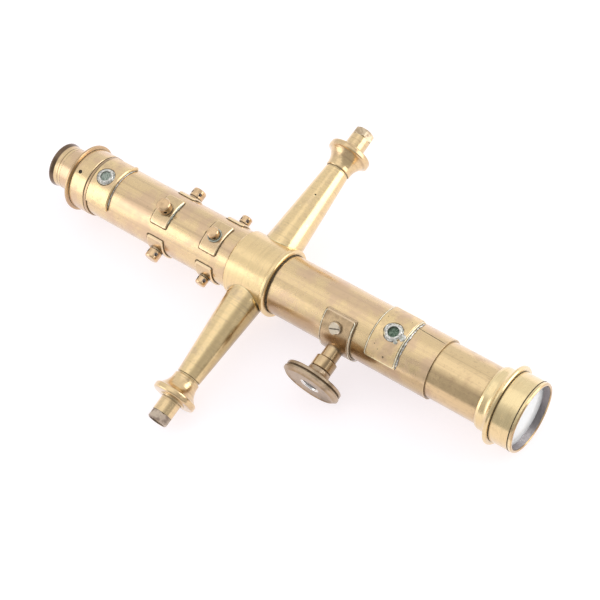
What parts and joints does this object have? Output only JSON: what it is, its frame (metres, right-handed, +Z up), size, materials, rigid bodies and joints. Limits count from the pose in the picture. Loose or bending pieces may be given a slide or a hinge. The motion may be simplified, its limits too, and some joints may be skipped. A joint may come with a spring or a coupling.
{
  "type": "surveyors transit telescope",
  "caption": "Brass transit telescope on a tapered cross axis with end pivots, a racked objective slide, a sliding erecting eyepiece and capstan adjusting screws.",
  "frame": {"origin": "where the centre line of the tube crosses the centre line of the horizontal axis", "axes": "+X along the tube to the objective, +Y along the horizontal axis away from the focusing knob, +Z up, to the side with the level saddles"},
  "size_m": [0.2962, 0.186, 0.0458],
  "materials": {
    "tube_brass": "aged brass worn through its lacquer, satin",
    "draw_brass": "aged brass, rubbed satin",
    "eyepiece_brass": "aged brass, satin",
    "band_brass": "aged cast brass, satin",
    "turned_brass": "aged turned brass, satin",
    "saddle_brass": "aged brass, dull",
    "screw_brass": "aged brass, dark in the corners",
    "washer_brass": "aged brass, satin",
    "ring_brass": "dull brass",
    "knob_brass": "tarnished brass",
    "nut_steel": "stained steel",
    "pinion_steel": "cut steel",
    "solder": "dull tin solder",
    "blackened": "blackened brass",
    "objective_glass": "clear",
    "eyepiece_glass": "clear"
  },
  "bodies": {
    "tube": {"main_tube": "tube_brass", "central_band": "band_brass", "axis_cone_near": "band_brass", "axis_cone_far": "band_brass", "pivot_collar_near": "turned_brass", "pivot_collar_far": "turned_brass", "pivot_nut_near": "nut_steel", "pivot_nut_far": "nut_steel", "rear_collar": "turned_brass", "rear_ring": "turned_brass", "collar_screw": "blackened", "level_saddle_rear": "saddle_brass", "level_bush_rear": "solder", "level_saddle_front": "saddle_brass", "level_bush_front": "solder", "pinion_plate": "saddle_brass", "plate_screw_upper": "screw_brass", "plate_screw_lower": "screw_brass", "pinion_sleeve": "knob_brass", "sleeve_gland": "knob_brass"},
    "objective_slide": {"draw_tube": "draw_brass", "focus_rack": "pinion_steel", "slide_stop": "blackened", "objective_cell": "turned_brass", "objective_bezel": "turned_brass", "crown_lens": "objective_glass", "flint_lens": "objective_glass", "lens_ring": "blackened"},
    "focus_shaft": {"focus_pinion": "pinion_steel", "focus_knob": "knob_brass", "knob_screw": "screw_brass"},
    "eyepiece": {"eyepiece_tube": "eyepiece_brass", "eye_cap": "blackened", "eye_lens": "eyepiece_glass", "field_lens": "eyepiece_glass", "erector_lens_rear": "eyepiece_glass", "erector_lens_front": "eyepiece_glass", "eyepiece_stop": "blackened"},
    "centring_cross_slide": {"centring_washer_top": "washer_brass", "centring_washer_bottom": "washer_brass"},
    "centring_rise_slide": {"centring_washer_near": "washer_brass", "centring_washer_far": "washer_brass"},
    "centring_carrier": {"centring_ring": "ring_brass"},
    "centring_top": {"centring_screw_top": "screw_brass"},
    "centring_bottom": {"centring_screw_bottom": "screw_brass"},
    "centring_near": {"centring_screw_near": "screw_brass"},
    "centring_far": {"centring_screw_far": "screw_brass"},
    "reticle_cross_slide": {"reticle_washer_top": "washer_brass", "reticle_washer_bottom": "washer_brass"},
    "reticle_rise_slide": {"reticle_washer_near": "washer_brass", "reticle_washer_far": "washer_brass"},
    "reticle_carrier": {"reticle_ring": "ring_brass", "cross_wires": "blackened"},
    "reticle_top": {"reticle_screw_top": "screw_brass"},
    "reticle_bottom": {"reticle_screw_bottom": "screw_brass"},
    "reticle_near": {"reticle_screw_near": "screw_brass"},
    "reticle_far": {"reticle_screw_far": "screw_brass"}
  },
  "joints": [
    {"name": "focus_turn", "type": "hinge", "parent": "tube", "child": "focus_shaft", "pos_m": [0.0563, -0.03, 0], "axis": [0, -1, 0], "range_deg": [-373, 115]},
    {"name": "focus_slide", "type": "slide", "parent": "tube", "child": "objective_slide", "axis": [1, 0, 0], "range_m": [-0.026, 0.008]},
    {"name": "eyepiece_slide", "type": "slide", "parent": "tube", "child": "eyepiece", "axis": [-1, 0, 0], "range_m": [-0.009, 0.01]},
    {"name": "centring_cross", "type": "slide", "parent": "tube", "child": "centring_cross_slide", "axis": [0, 1, 0], "range_m": [-0.00025, 0.00025]},
    {"name": "centring_side_rise", "type": "slide", "parent": "tube", "child": "centring_rise_slide", "axis": [0, 0, 1], "range_m": [-0.00025, 0.00025]},
    {"name": "centring_rise", "type": "slide", "parent": "centring_cross_slide", "child": "centring_carrier", "axis": [0, 0, 1], "range_m": [-0.00025, 0.00025]},
    {"name": "centring_top_turn", "type": "hinge", "parent": "centring_cross_slide", "child": "centring_top", "pos_m": [-0.0586, 0, 0], "axis": [0, 0, 1], "range_deg": [-180, 180]},
    {"name": "centring_bottom_turn", "type": "hinge", "parent": "centring_cross_slide", "child": "centring_bottom", "pos_m": [-0.0586, 0, 0], "axis": [0, 0, -1], "range_deg": [-180, 180]},
    {"name": "centring_near_turn", "type": "hinge", "parent": "centring_rise_slide", "child": "centring_near", "pos_m": [-0.0586, 0, 0], "axis": [0, -1, 0], "range_deg": [-180, 180]},
    {"name": "centring_far_turn", "type": "hinge", "parent": "centring_rise_slide", "child": "centring_far", "pos_m": [-0.0586, 0, 0], "axis": [0, 1, 0], "range_deg": [-180, 180]},
    {"name": "reticle_cross", "type": "slide", "parent": "tube", "child": "reticle_cross_slide", "axis": [0, 1, 0], "range_m": [-0.00025, 0.00025]},
    {"name": "reticle_side_rise", "type": "slide", "parent": "tube", "child": "reticle_rise_slide", "axis": [0, 0, 1], "range_m": [-0.00025, 0.00025]},
    {"name": "reticle_rise", "type": "slide", "parent": "reticle_cross_slide", "child": "reticle_carrier", "axis": [0, 0, 1], "range_m": [-0.00025, 0.00025]},
    {"name": "reticle_top_turn", "type": "hinge", "parent": "reticle_cross_slide", "child": "reticle_top", "pos_m": [-0.0262, 0, 0], "axis": [0, 0, 1], "range_deg": [-180, 180]},
    {"name": "reticle_bottom_turn", "type": "hinge", "parent": "reticle_cross_slide", "child": "reticle_bottom", "pos_m": [-0.0262, 0, 0], "axis": [0, 0, -1], "range_deg": [-180, 180]},
    {"name": "reticle_near_turn", "type": "hinge", "parent": "reticle_rise_slide", "child": "reticle_near", "pos_m": [-0.0262, 0, 0], "axis": [0, -1, 0], "range_deg": [-180, 180]},
    {"name": "reticle_far_turn", "type": "hinge", "parent": "reticle_rise_slide", "child": "reticle_far", "pos_m": [-0.0262, 0, 0], "axis": [0, 1, 0], "range_deg": [-180, 180]}
  ],
  "couplings": [
    {"joint": "focus_turn", "follows": "focus_slide", "rad_per_m": 250},
    {"joint": "centring_side_rise", "follows": "centring_rise", "ratio": 1},
    {"joint": "centring_top_turn", "follows": "centring_rise", "rad_per_m": -12566},
    {"joint": "centring_bottom_turn", "follows": "centring_rise", "rad_per_m": 12566},
    {"joint": "centring_far_turn", "follows": "centring_cross", "rad_per_m": -12566},
    {"joint": "centring_near_turn", "follows": "centring_cross", "rad_per_m": 12566},
    {"joint": "reticle_side_rise", "follows": "reticle_rise", "ratio": 1},
    {"joint": "reticle_top_turn", "follows": "reticle_rise", "rad_per_m": -12566},
    {"joint": "reticle_bottom_turn", "follows": "reticle_rise", "rad_per_m": 12566},
    {"joint": "reticle_far_turn", "follows": "reticle_cross", "rad_per_m": -12566},
    {"joint": "reticle_near_turn", "follows": "reticle_cross", "rad_per_m": 12566}
  ]
}
